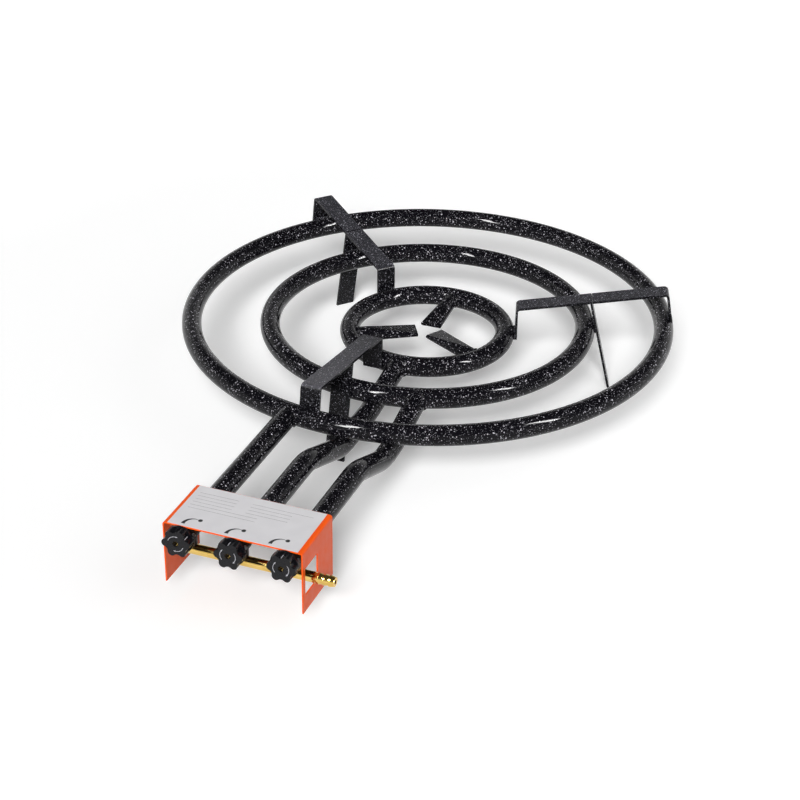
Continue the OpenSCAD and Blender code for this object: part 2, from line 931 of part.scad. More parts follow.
// Injector screwed on the end of the nose
module jet(x) {
    jet_front = nose_back + seat_gap;
    color(brass)
        difference() {
            union() {
                translate([x, jet_front, axis_z])
                    rotate([-90, 0, 0])
                        cylinder(d = jet_flats / cos(30), h = 3, $fn = 6);
                rod(x, jet_front + 3 - eps, axis_z, 5, jet_len - 3);
                rod(x, jet_front - 4, axis_z, nose_bore_d - 2 * seat_gap, 4 + eps);
            }
            rod(x, jet_front - 5, axis_z, 2.4, jet_len + 3.4);
            rod(x, jet_front, axis_z, jet_d, jet_len + 1);
        }
}

module left_jet() {
    jet(feed_x[0]);
}

module centre_jet() {
    jet(feed_x[1]);
}

module right_jet() {
    jet(feed_x[2]);
}

// Lobed outline: each valley is an arc tangent to the lobes beside it
skirt_d = knob_d - 1;
lobe_at = knob_d / 2 - lobe_r;
valley_r = 5;
valley_half = 180 / lobes;
valley_at = lobe_at * cos(valley_half) + sqrt(pow(lobe_r + valley_r, 2) - pow(lobe_at * sin(valley_half), 2));

module knob_outline() {
    star = [for (i = [0 : 2 * lobes - 1])
        let (r = i % 2 == 0 ? lobe_at : valley_at, a = i * valley_half)
        [r * cos(a), r * sin(a)]];
    difference() {
        union() {
            polygon(star);
            for (i = [0 : lobes - 1])
                rotate(i * 2 * valley_half)
                    translate([lobe_at, 0])
                        circle(r = lobe_r, $fn = 48);
        }
        for (i = [0 : lobes - 1])
            rotate((2 * i + 1) * valley_half)
                translate([valley_at, 0])
                    circle(r = valley_r, $fn = 48);
    }
}

// Knob with a front recess that shows the end of the spindle
module knob(i) {
    recess_d = 1.1 * spindle_d;
    recess_h = 5;
    seat_d = spindle_d + 2 * seat_gap;
    color(black)
        on_axis(i)
            difference() {
                union() {
                    translate([0, knob_face, 0])
                        rotate([-90, 0, 0])
                            linear_extrude(knob_depth)
                                knob_outline();
                    rod(0, knob_face + knob_depth - skirt_t, 0, skirt_d, skirt_t);
                }
                rod(0, knob_face - 1, 0, recess_d, recess_h + 1);
                difference() {
                    rod(0, knob_face, 0, seat_d, knob_depth + 1);
                    translate([-seat_d, knob_face, spindle_d / 2 - flat_depth + seat_gap])
                        cube([2 * seat_d, knob_depth, seat_d]);
                }
            }
}

module left_knob() {
    knob(0);
}

module centre_knob() {
    knob(1);
}

module right_knob() {
    knob(2);
}

outer_ring();
middle_ring();
inner_ring();
outer_feed();
middle_feed();
inner_feed();
finger_back();
finger_left();
finger_right();
right_leg_strip();
back_leg_strip();
front_leg_strip();
right_bar_strip();
back_bar_strip();
front_bar_strip();
control_box();
box_label();
cover_screws();
gas_rail();
hose_tail();
rail_plug();
left_bridge();
centre_bridge();
right_bridge();
left_tap_body();
centre_tap_body();
right_tap_body();
left_bonnet();
centre_bonnet();
right_bonnet();
bonnet_screws();
left_plug();
centre_plug();
right_plug();
left_spindle();
centre_spindle();
right_spindle();
left_spring();
centre_spring();
right_spring();
left_jet();
centre_jet();
right_jet();
left_knob();
centre_knob();
right_knob();
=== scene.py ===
"""Looks of a three-ring gas burner: finishes, springs, weld beads, printed marks, light and camera."""
import json
import math
import random

import bmesh
import bpy
from mathutils import Matrix, Vector


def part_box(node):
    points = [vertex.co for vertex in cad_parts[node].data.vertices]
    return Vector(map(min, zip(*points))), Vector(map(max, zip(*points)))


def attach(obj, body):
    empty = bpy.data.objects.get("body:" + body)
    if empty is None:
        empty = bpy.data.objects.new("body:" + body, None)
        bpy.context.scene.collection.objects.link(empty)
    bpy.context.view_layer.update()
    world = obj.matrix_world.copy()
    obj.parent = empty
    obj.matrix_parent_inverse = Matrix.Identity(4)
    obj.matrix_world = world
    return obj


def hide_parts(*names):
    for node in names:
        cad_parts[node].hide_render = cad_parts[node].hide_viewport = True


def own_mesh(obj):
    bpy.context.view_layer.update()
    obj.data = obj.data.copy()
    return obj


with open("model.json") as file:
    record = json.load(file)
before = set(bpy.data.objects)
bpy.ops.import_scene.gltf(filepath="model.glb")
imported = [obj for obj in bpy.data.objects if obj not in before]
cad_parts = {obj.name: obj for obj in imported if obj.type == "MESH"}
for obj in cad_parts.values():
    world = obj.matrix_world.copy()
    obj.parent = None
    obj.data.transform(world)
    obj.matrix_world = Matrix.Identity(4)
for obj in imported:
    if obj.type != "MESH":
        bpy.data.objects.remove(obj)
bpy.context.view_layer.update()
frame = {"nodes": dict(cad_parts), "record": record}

MM = 0.001
draw = random.Random(7)

# Sizes of the part, in millimetres
TUBE_R = 12.5
RINGS = {"outer": (300.0, 90.0), "middle": (201.0, 82.0), "inner": (99.5, 68.5)}
SIDES = ("left", "centre", "right")
FEED_X = (-60.0, 0.0, 60.0)
MIDDLE_FEED_SLOPE = (0, 85.16, 20.0)
INNER_FEED_SLOPE = (0, 101.5, 14.5)
MARK_X = (-60.0, -10.0, 40.0)
FINGER_R = 9.5
FINGER_BEARINGS = (90, 210, 330)
STRIP_W = 25.0
STRIP_T = 3.0
LEG_SPLAY = math.radians(13.4)
TAB_SLANT = math.radians(10)
SUPPORTS = {"right": (18.0, 0.0), "back": (139.5, 0.0), "front": (-90.0, -30.0)}
BAR_OUTER_Z = 135.5
KNOB_FACE_Y = -586.5
KNOB_AXIS_Z = 90.0
KNOB_TURN = {"left": 55.0, "centre": 0.0, "right": 0.0}
KNOB_VALLEY_R = 12.84
LABEL_Z = 104.35
SPRING_WIRE_R = 0.4
SPRING_TURNS = 3.5
SPRING_STEPS = 112

# Weld beads, in millimetres: their radii, the gap between the welded solids, and the places on a pan support
FEED_WELD_R = 1.7
FINGER_WELD_R = 1.3
SUPPORT_WELD_R = 1.5
WELD_GAP = 0.2
TAB_WELD_LIFTS = (5.4, -3.6)
TAB_WELD_HALF = 10.5
LEG_WELD_LIFTS = (6.0, -6.0)
LEG_WELD_HALF = 11
OUTER_WELD_HALF = 11.5
OUTER_TAB_INSET = 2
TAB_START_DROP = 8

# Print, in millimetres: ink layers, the flow marks' bend and dot, the ruled fields, and the knobs' arrows
LABEL_INK = 0.03
KNOB_INK = 0.04
MARK_BEND = (9.6, -566.0)
MARK_RADII = (10.2, 10.6)
MARK_DOT = (14.6, -556.2)
MARK_DOT_R = 2.5
RULE_W = 0.35
RULE_ROWS = (
    (-507, -70, -24), (-513, -70, -24), (-519, -70, -24), (-525, -70, -24), (-531, -70, 8),
    (-537, -70, 8), (-507, -8, 62), (-513, -8, 40), (-519, -8, 40), (-525, -8, 40))
ARROW_R = 8.9
ARROW_W = 0.6
ARROW_SWEEP = 76
ARROW_STEPS = 15
POINTER_W = 0.8

# Light: lamps by bearing and elevation in degrees, and distance in metres
KEY_STRENGTH = 3.7
KEY_WIDTH = math.radians(22)
KEY_PLACE = (-76.3, 34.4, 4.0)
PANEL_WATTS = 17.0
PANEL_SIZE = 2.4
PANEL_PLACE = (-12, 36, 3.0)
SOFTBOX_WATTS = 60.0
SOFTBOX_SIZE = (0.22, 1.0)
SOFTBOXES = {"left_softbox": (-107, 42, 2.6), "right_softbox": (-8, 41, 2.6)}
LAMP_TARGET = (0.0, -0.12, 0.05)
FILL = 0.13

# Floor: half its side in metres, its own share of white near and far from the part, less near it as a painted
# shade round the part, and the light it returns
FLOOR_HALF = 30.0
GLOW_FROM = 0.7
GLOW_TO = 1.8
GLOW_NEAR = 0.14
GLOW_FAR = 0.4
FLOOR_BOUNCE = 0.26


class Finish:
    """A principled material with short helpers for its node graph."""

    def __init__(self, name, color, roughness, metallic=0.0):
        self.material = bpy.data.materials.new(name)
        self.material.use_nodes = True
        self.nodes = self.material.node_tree.nodes
        self.links = self.material.node_tree.links
        self.shader = self.nodes["Principled BSDF"]
        self.base = (*color, 1.0)
        self.shader.inputs["Base Color"].default_value = self.base
        self.shader.inputs["Roughness"].default_value = roughness
        self.shader.inputs["Metallic"].default_value = metallic
        self.place = self.nodes.new("ShaderNodeTexCoord").outputs["Object"]

    def plug(self, value, socket):
        if isinstance(value, bpy.types.NodeSocket):
            self.links.new(value, socket)
        else:
            socket.default_value = value

    def math(self, operation, a, b, clamp=False):
        node = self.nodes.new("ShaderNodeMath")
        node.operation = operation
        node.use_clamp = clamp
        self.plug(a, node.inputs[0])
        self.plug(b, node.inputs[1])
        return node.outputs[0]

    def stretch(self, factors, shift=0.0):
        node = self.nodes.new("ShaderNodeMapping")
        node.inputs["Scale"].default_value = factors
        node.inputs["Location"].default_value = (shift, shift, shift)
        self.links.new(self.place, node.inputs["Vector"])
        return node.outputs["Vector"]

    def noise(self, scale, detail=3.0, factors=(1, 1, 1)):
        node = self.nodes.new("ShaderNodeTexNoise")
        node.inputs["Scale"].default_value = scale
        node.inputs["Detail"].default_value = detail
        self.links.new(self.stretch(factors), node.inputs["Vector"])
        return node.outputs["Fac"]

    def remap(self, value, low, high, to_low, to_high):
        node = self.nodes.new("ShaderNodeMapRange")
        self.links.new(value, node.inputs["Value"])
        node.inputs["From Min"].default_value = low
        node.inputs["From Max"].default_value = high
        node.inputs["To Min"].default_value = to_low
        node.inputs["To Max"].default_value = to_high
        return node.outputs["Result"]

    def specks(self, pitch_mm, largest_mm, share, dimmest, shift):
        """Specks of random size and brightness, one at most in each cell of the given pitch."""
        cells = self.nodes.new("ShaderNodeTexVoronoi")
        cells.inputs["Scale"].default_value = 1 / (pitch_mm * MM)
        self.links.new(self.stretch((1, 1, 1), shift), cells.inputs["Vector"])
        chance = self.nodes.new("ShaderNodeSeparateColor")
        self.links.new(cells.outputs["Color"], chance.inputs["Color"])
        radius = self.remap(chance.outputs["Red"], 1 - share, 1, 0, largest_mm / pitch_mm)
        inside = self.math("SUBTRACT", radius, cells.outputs["Distance"])
        edge = self.math("MULTIPLY", inside, 14.0, clamp=True)
        level = self.remap(chance.outputs["Green"], 0, 1, dimmest, 1)
        return self.math("MULTIPLY", edge, level)

    def mix_color(self, factor, low, high):
        node = self.nodes.new("ShaderNodeMix")
        node.data_type = "RGBA"
        self.plug(factor, node.inputs[0])
        self.plug(low, node.inputs[6])
        self.plug(high, node.inputs[7])
        return node.outputs[2]

    def color(self, socket):
        self.links.new(socket, self.shader.inputs["Base Color"])

    def roughness(self, socket):
        self.links.new(socket, self.shader.inputs["Roughness"])

    def bump(self, height, strength, depth_mm):
        node = self.nodes.new("ShaderNodeBump")
        node.inputs["Strength"].default_value = strength
        node.inputs["Distance"].default_value = depth_mm * MM
        self.links.new(height, node.inputs["Height"])
        self.links.new(node.outputs["Normal"], self.shader.inputs["Normal"])


def make_enamel():
    """Glossy black enamel, sprinkled with white specks of several sizes."""
    f = Finish("enamel", (0.0037, 0.0035, 0.005), 0.1)
    f.shader.inputs["IOR"].default_value = 1.23
    large = f.specks(4.4, 1.25, 0.75, 0.3, 0.0)
    medium = f.specks(2.3, 0.8, 0.85, 0.15, 3.1)
    fine = f.specks(1.25, 0.45, 0.8, 0.1, 7.7)
    white = f.math("MAXIMUM", large, f.math("MAXIMUM", medium, f.math("MULTIPLY", fine, 0.6)))
    patchy = f.remap(f.noise(14, 2.0), 0.3, 0.7, 0.75, 1.0)
    f.color(f.mix_color(f.math("MULTIPLY", white, patchy), f.base, (0.73, 0.71, 0.78, 1)))
    f.roughness(f.remap(f.noise(160), 0.3, 0.7, 0.05, 0.1))
    relief = f.math("ADD", f.noise(170, 2.0), f.math("MULTIPLY", white, 0.25))
    f.bump(relief, 0.04, 0.5)
    return f.material


def make_strip_enamel():
    """The same enamel on the strips, dulled on the tops where pans rub, and greyed there by that wear and by
    a painted sheen, paler towards the front; the specks are painted dimmer on the sides, as painted shade.
    """
    f = Finish("strip_enamel", (0.003, 0.0029, 0.004), 0.2)
    f.shader.inputs["Specular IOR Level"].default_value = 0.12
    coarse = f.specks(3.4, 0.95, 0.6, 0.3, 1.3)
    fine = f.specks(1.9, 0.64, 0.72, 0.15, 5.9)
    dust = f.specks(1.0, 0.4, 0.85, 0.15, 9.2)
    white = f.math("MAXIMUM", coarse, f.math("MAXIMUM", fine, f.math("MULTIPLY", dust, 0.75)))
    facing = f.nodes.new("ShaderNodeSeparateXYZ")
    f.links.new(f.nodes.new("ShaderNodeNewGeometry").outputs["True Normal"], facing.inputs[0])
    patches = f.remap(f.noise(38, 4.0), 0.3, 0.7, 0.7, 1.0)
    # Tops: wear where pans rub, and a painted sheen that greys the upward faces.
    wear_and_sheen_tops = f.math("MULTIPLY", f.remap(facing.outputs["Z"], 0.6, 0.9, 0, 1), patches)
    spot = f.nodes.new("ShaderNodeSeparateXYZ")
    f.links.new(f.place, spot.inputs[0])
    # Painted sheen: the tops are painted paler towards the front.
    front_sheen_share = f.remap(spot.outputs["Y"], -0.28, -0.1, 1, 0)
    # The tops' colour: wear plus a painted sheen, darker grey at the back and paler grey at the front.
    rubbed = f.mix_color(front_sheen_share, (0.024, 0.0235, 0.029, 1), (0.09, 0.088, 0.1, 1))
    ground = f.mix_color(wear_and_sheen_tops, f.base, rubbed)
    # Painted shade: the specks are painted at half brightness on the side faces, full on the tops.
    specks_shaded_on_sides = f.math("MULTIPLY", white, f.remap(wear_and_sheen_tops, 0, 1, 0.5, 1.0))
    f.color(f.mix_color(specks_shaded_on_sides, ground, (0.72, 0.71, 0.8, 1)))
    gloss = f.remap(f.noise(220), 0.3, 0.7, 0.14, 0.24)
    f.roughness(f.math("ADD", gloss, f.math("MULTIPLY", wear_and_sheen_tops, 0.36)))
    f.bump(f.noise(420, 4.0), 0.25, 0.3)
    return f.material


def make_orange():
    """Orange powder coat: slight orange peel, a little rubbed and dusty in patches."""
    f = Finish("orange_paint", (0.95, 0.106, 0.004), 0.36)
    f.shader.inputs["Specular IOR Level"].default_value = 0.2
    rubbed = f.remap(f.noise(26, 5.0), 0.3, 0.72, 0, 1)
    f.color(f.mix_color(rubbed, (0.93, 0.101, 0.003, 1), (0.97, 0.111, 0.006, 1)))
    f.roughness(f.remap(f.noise(90, 4.0), 0.3, 0.7, 0.3, 0.44))
    f.bump(f.noise(900, 2.0), 0.12, 0.2)
    return f.material


def make_label():
    """Printed film: off-white, faintly mottled, with a soft sheen."""
    f = Finish("label", (0.72, 0.71, 0.73), 0.38)
    mottle = f.remap(f.noise(60, 4.0), 0.3, 0.7, 0, 1)
    f.color(f.mix_color(mottle, (0.7, 0.69, 0.71, 1), (0.74, 0.73, 0.75, 1)))
    f.roughness(f.remap(f.noise(240), 0.3, 0.7, 0.34, 0.46))
    f.bump(f.noise(160, 2.0), 0.05, 0.2)
    return f.material


def make_brass():
    """Polished brass bar stock: fine turning lines and slight tarnish."""
    f = Finish("brass", (0.76, 0.52, 0.15), 0.16, metallic=1.0)
    lines = f.noise(1500, 2.0, factors=(1, 0.03, 0.03))
    tarnish = f.remap(f.noise(70, 4.0), 0.35, 0.75, 0, 1)
    f.color(f.mix_color(tarnish, (0.79, 0.55, 0.17, 1), (0.62, 0.4, 0.09, 1)))
    f.roughness(f.remap(lines, 0.3, 0.7, 0.08, 0.2))
    f.bump(lines, 0.06, 0.1)
    return f.material


def make_tap_black():
    """The taps' colour: dark brown-black, slightly rough."""
    f = Finish("tap_black", (0.014, 0.011, 0.009), 0.4)
    stain = f.remap(f.noise(120, 4.0), 0.3, 0.7, 0, 1)
    f.color(f.mix_color(stain, (0.009, 0.007, 0.006, 1), (0.022, 0.017, 0.013, 1)))
    f.roughness(f.remap(f.noise(400), 0.3, 0.7, 0.32, 0.5))
    f.bump(f.noise(700, 3.0), 0.2, 0.2)
    return f.material


def make_steel():
    """Zinc-plated steel with a faint crystalline mottle."""
    f = Finish("steel", (0.62, 0.62, 0.63), 0.32, metallic=1.0)
    crystals = f.remap(f.noise(300), 0.3, 0.7, 0, 1)
    f.color(f.mix_color(crystals, (0.55, 0.55, 0.55, 1), (0.68, 0.68, 0.69, 1)))
    f.roughness(f.remap(f.noise(500), 0.3, 0.7, 0.24, 0.42))
    f.bump(f.noise(900), 0.05, 0.1)
    return f.material


def make_knob_plastic():
    """Gloss black moulding with a very fine moulded grain."""
    f = Finish("knob_plastic", (0.006, 0.006, 0.008), 0.24)
    f.shader.inputs["Specular IOR Level"].default_value = 0.24
    f.color(f.mix_color(f.noise(260, 4.0), (0.003, 0.003, 0.004, 1), (0.006, 0.006, 0.008, 1)))
    f.roughness(f.remap(f.noise(700), 0.3, 0.7, 0.18, 0.32))
    f.bump(f.noise(1600, 2.0), 0.08, 0.1)
    return f.material


def make_ink(name, color):
    """Screen print: a thin, slightly uneven layer of ink."""
    f = Finish(name, color, 0.5)
    f.color(f.mix_color(f.noise(1200, 3.0), tuple(c * 0.85 for c in color) + (1,), (*color, 1)))
    f.roughness(f.remap(f.noise(900), 0.3, 0.7, 0.42, 0.6))
    return f.material


MATERIALS = {
    "enamel": make_enamel(),
    "strip_enamel": make_strip_enamel(),
    "orange_paint": make_orange(),
    "label": make_label(),
    "brass": make_brass(),
    "tap_black": make_tap_black(),
    "steel": make_steel(),
    "knob_plastic": make_knob_plastic(),
}
BLACK_INK = make_ink("black_ink", (0.012, 0.012, 0.014))
GREY_INK = make_ink("grey_ink", (0.22, 0.22, 0.23))
WHITE_INK = make_ink("white_ink", (0.5, 0.5, 0.54))

for subpart in frame["record"]["subparts"]:
    for holder in frame["nodes"][subpart["node"]].material_slots:
        holder.material = MATERIALS[subpart["material_slot"]]


def add_piece(name, vertices, faces, material, body, slot, smooth=True):
    """A mesh piece from points in millimetres, riding on a body."""
    mesh = bpy.data.meshes.new(name)
    mesh.from_pydata([Vector(v) * MM for v in vertices], [], faces)
    bm = bmesh.new()
    bm.from_mesh(mesh)
    bmesh.ops.recalc_face_normals(bm, faces=bm.faces)
    bm.to_mesh(mesh)
    bm.free()
    mesh.materials.append(material)
    mesh.polygons.foreach_set("use_smooth", [smooth] * len(mesh.polygons))
    piece = bpy.data.objects.new(name, mesh)
    bpy.context.collection.objects.link(piece)
    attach(piece, body)
    return piece


def sweep(path, radii, closed, sides=10):
    """Points and faces of a round tube of changing radius along a path."""
    points = []
    faces = []
    count = len(path)
    last_side = None
    for i, here in enumerate(path):
        ahead = path[(i + 1) % count] if closed or i + 1 < count else here
        behind = path[i - 1] if closed or i > 0 else here
        along = (ahead - behind).normalized()
        if last_side is None:
            side = along.cross(Vector((0, 0, 1)))
        else:
            side = last_side - along * last_side.dot(along)
        if side.length < 1e-6:
            side = along.cross(Vector((1, 0, 0)))
        side.normalize()
        last_side = side
        lift = along.cross(side)
        for k in range(sides):
            a = 2 * math.pi * k / sides
            points.append(here + (side * math.cos(a) + lift * math.sin(a)) * radii[i])
    for i in range(count if closed else count - 1):
        j = (i + 1) % count
        for k in range(sides):
            m = (k + 1) % sides
            faces.append((i * sides + k, i * sides + m, j * sides + m, j * sides + k))
    if not closed:
        faces.append(tuple(range(sides)))
        faces.append(tuple(range((count - 1) * sides, count * sides)))
    return points, faces


def bead_radii(count, radius, closed):
    """A weld bead's ripples: evenly spaced crests with some chance in their size."""
    phase = draw.uniform(0, 6)
    radii = []
    for i in range(count):
        ripple = 0.13 * math.sin(phase + i * 1.9) + draw.uniform(-0.1, 0.1)
        end = 1.0 if closed else min(1.0, 0.45 + 0.3 * min(i, count - 1 - i))
        radii.append(radius * (1 + ripple) * end)
    return radii


def weld(name, runs, radius, slot="enamel", closed=False):
    """One piece of several weld beads."""
    beads = [sweep(path, bead_radii(len(path), radius, closed), closed) for path in runs]
    add_piece(name, *merged(beads), MATERIALS[slot], "burner", slot)


def ring_gap(point, ring):
    """Distance from a point to a ring's surface."""
    r, z = RINGS[ring]
    return math.hypot(math.hypot(point.x, point.y) - r, point.z - z) - TUBE_R


def march(start, along, ring, reach, stop):
    """The first place along a line that lies within a distance of a ring's surface, or None."""
    t = 0.0
    while t < reach:
        gap = ring_gap(start + along * t, ring) - stop
        if gap < 0.02:
            return start + along * t
        t += max(gap * 0.8, 0.01)
    return None


def saddle(end, along, tube_r, ring, stand_off, steps=56):
    """The closed line where a tube's skin meets a ring, a little proud of it."""
    side = along.cross(Vector((0, 0, 1))).normalized()
    lift = side.cross(along)
    line = []
    for k in range(steps):
        a = 2 * math.pi * k / steps
        rim = end + (side * math.cos(a) + lift * math.sin(a)) * (tube_r + stand_off)
        place = march(rim - along * 60, along, ring, 75, stand_off)
        if place is not None:
            line.append(place)
    return line


def on_support(support, u, v, z):
    """A point by its distance along a support, its place across the strip, and its height."""
    bearing, offset = SUPPORTS[support]
    a = math.radians(bearing)
    across = offset + v
    return Vector((u * math.cos(a) - across * math.sin(a), u * math.sin(a) + across * math.cos(a), z))


def reach_u(radius, offset):
    """Where the strip's nearer edge crosses a circle about the ring axis."""
    return math.sqrt(radius ** 2 - max(0.0, abs(offset) - STRIP_W / 2) ** 2)


def make_feed_welds():
    """Fillet welds where each feed tube enters its ring."""
    ends = {
        "outer": (FEED_X[0], Vector((0, 1, 0))),
        "middle": (FEED_X[2], Vector(MIDDLE_FEED_SLOPE).normalized()),
        "inner": (FEED_X[1], Vector(INNER_FEED_SLOPE).normalized()),
    }
    for ring, (x, along) in ends.items():
        r, z = RINGS[ring]
        end = Vector((x, -math.sqrt(r * r - x * x), z))
        weld(ring + "_feed_weld", [saddle(end, along, TUBE_R, ring, 0.5)], FEED_WELD_R, closed=True)


def make_finger_welds():
    """Fillet welds where the fingers leave the inner ring."""
    r, z = RINGS["inner"]
    runs = []
    for bearing in FINGER_BEARINGS:
        a = math.radians(bearing)
        along = Vector((math.cos(a), math.sin(a), 0))
        runs.append(saddle(along * r + Vector((0, 0, z)), along, FINGER_R, "inner", 0.4, 44))
    weld("finger_welds", runs, FINGER_WELD_R, closed=True)


def make_support_welds():
    """Short welds that hold each pan support to the three rings."""
    places = [i / 9 for i in range(-9, 10)]
    for support, (_, offset) in SUPPORTS.items():
        runs = []
        tab_u = reach_u(RINGS["inner"][0] + TUBE_R, offset) + WELD_GAP - 0.5
        for lift in TAB_WELD_LIFTS:
            z = RINGS["inner"][1] + lift
            runs.append([on_support(support, tab_u, v * TAB_WELD_HALF, z) for v in places])
        leg_u = reach_u(RINGS["middle"][0], offset) + (TUBE_R + WELD_GAP) * math.cos(LEG_SPLAY) + WELD_GAP
        leg_z = RINGS["middle"][1] + TUBE_R * math.sin(LEG_SPLAY)
        for lift in LEG_WELD_LIFTS:
            u = leg_u - lift * math.tan(LEG_SPLAY) - 0.6
            runs.append([on_support(support, u, v * LEG_WELD_HALF, leg_z + lift) for v in places])
        top_u = reach_u(RINGS["outer"][0], offset) + OUTER_TAB_INSET
        top_z = BAR_OUTER_Z - TAB_START_DROP
        for side in (-1, 1):
            u = top_u + side * (STRIP_T / 2 + 0.5)
            run = []
            for v in places:
                top = on_support(support, u, v * OUTER_WELD_HALF, top_z)
                foot = on_support(support, u + math.tan(TAB_SLANT), v * OUTER_WELD_HALF, top_z - 1)
                place = march(top, (foot - top).normalized(), "outer", 60, 0.4)
                if place is not None:
                    run.append(place)
            runs.append(run)
        weld(support + "_support_welds", runs, SUPPORT_WELD_R, slot="strip_enamel")


def ribbon(path, widths, level, thickness):
    """Points and faces of a thin flat ribbon along a path of plane points."""
    points = []
    faces = []
    count = len(path)
    for i, here in enumerate(path):
        ahead = path[min(i + 1, count - 1)]
        behind = path[max(i - 1, 0)]
        along = (ahead - behind).normalized()
        side = Vector((-along.y, along.x))
        for sign, height in ((-1, level), (1, level), (1, level + thickness), (-1, level + thickness)):
            edge = here + side * (sign * widths[i] / 2)
            points.append(Vector((edge.x, edge.y, height)))
    for i in range(count - 1):
        for k in range(4):
            m = (k + 1) % 4
            faces.append((4 * i + k, 4 * i + m, 4 * i + 4 + m, 4 * i + 4 + k))
    faces.append((0, 1, 2, 3))
    faces.append(tuple(4 * (count - 1) + k for k in range(4)))
    return points, faces


def merged(parts):
    """Several lists of points and faces as one."""
    points = []
    faces = []
    for more, more_faces in parts:
        faces += [tuple(i + len(points) for i in face) for face in more_faces]
        points += more
    return points, faces


def disc(centre, radius, level, thickness, steps=28):
    """Points and faces of a thin round dot."""
    points = []
    for height in (level, level + thickness):
        for k in range(steps):
            a = 2 * math.pi * k / steps
            points.append(Vector((centre.x + radius * math.cos(a), centre.y + radius * math.sin(a), height)))
    faces = [tuple(range(steps)), tuple(range(steps, 2 * steps))]
    faces += [(k, (k + 1) % steps, steps + (k + 1) % steps, steps + k) for k in range(steps)]
    return points, faces


def make_label_print():
    """Flow marks in front of each knob and plain ruled fields, with no lettering."""
    steps = 20
    marks = []
    for x in MARK_X:
        path = []
        widths = []
        for i in range(steps + 1):
            t = i / steps
            a = math.radians(188 - 116 * t)
            along_x = x + MARK_BEND[0] + MARK_RADII[0] * math.cos(a)
            path.append(Vector((along_x, MARK_BEND[1] + MARK_RADII[1] * math.sin(a))))
            widths.append(4.0 * (1 - t) ** 1.1 + 0.3)
        marks.append(ribbon(path, widths, LABEL_Z, LABEL_INK))
        marks.append(disc(Vector((x + MARK_DOT[0], MARK_DOT[1])), MARK_DOT_R, LABEL_Z, LABEL_INK))
    add_piece("flow_marks", *merged(marks), BLACK_INK, "burner", "label", smooth=False)
    rules = []
    for y, x0, x1 in RULE_ROWS:
        rules.append(ribbon([Vector((x0, y)), Vector((x1, y))], [RULE_W, RULE_W], LABEL_Z, LABEL_INK))
    add_piece("label_rules", *merged(rules), GREY_INK, "burner", "label", smooth=False)


def make_knob_print():
    """Turning arrows on each knob's face, and a pointer line in its top valley."""
    for name, x in zip(SIDES, FEED_X):
        turn = Matrix.Rotation(math.radians(KNOB_TURN[name]), 4, "Y")
        face = Matrix.Translation((x, 0, KNOB_AXIS_Z)) @ turn
        parts = []
        for start in (218, 38):
            arc = [math.radians(start - ARROW_SWEEP * i / (ARROW_STEPS - 1)) for i in range(ARROW_STEPS)]
            path = [Vector((ARROW_R * math.cos(a), ARROW_R * math.sin(a))) for a in arc]
            parts.append(ribbon(path, [ARROW_W] * ARROW_STEPS, 0, KNOB_INK))
            tip = arc[-1]
            along = Vector((math.sin(tip), -math.cos(tip)))
            head = path[-1]
            parts.append(ribbon([head - along * 0.2, head + along * 2.3], [1.9, 0.1], 0, KNOB_INK))
        points, faces = merged(parts)
        on_face = [face @ Vector((p.x, KNOB_FACE_Y - p.z, p.y)) for p in points]
        body = name + "_button"
        add_piece(name + "_knob_arrows", on_face, faces, WHITE_INK, body, "knob_plastic", smooth=False)
        line, line_faces = ribbon([Vector((0, 1.2)), Vector((0, 7.5))], [POINTER_W, POINTER_W], 0, KNOB_INK)
        on_side = [face @ Vector((p.x, KNOB_FACE_Y + p.y, KNOB_VALLEY_R + p.z)) for p in line]
        add_piece(name + "_knob_pointer", on_side, line_faces, WHITE_INK, body, "knob_plastic", smooth=False)


def make_springs():
    """Return springs of the taps, drawn as steel coils that ride on the valves."""
    for name, x in zip(SIDES, FEED_X):
        low, high = (Vector(corner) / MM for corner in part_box(name + "_spring"))
        mean_r = (high.x - low.x) / 2 - SPRING_WIRE_R
        first = low.y + SPRING_WIRE_R
        rise = high.y - low.y - 2 * SPRING_WIRE_R
        path = []
        for i in range(SPRING_STEPS + 1):
            a = 2 * math.pi * SPRING_TURNS * i / SPRING_STEPS
            y = first + rise * i / SPRING_STEPS
            path.append(Vector((x + mean_r * math.cos(a), y, KNOB_AXIS_Z + mean_r * math.sin(a))))
        coil, faces = sweep(path, [SPRING_WIRE_R] * len(path), False, 8)
        piece = add_piece(name + "_tap_coil", coil, faces, MATERIALS["steel"], name + "_valve", "steel")
        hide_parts(name + "_spring")
        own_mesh(piece)


make_springs()
make_feed_welds()
make_finger_welds()
make_support_welds()
make_label_print()
make_knob_print()


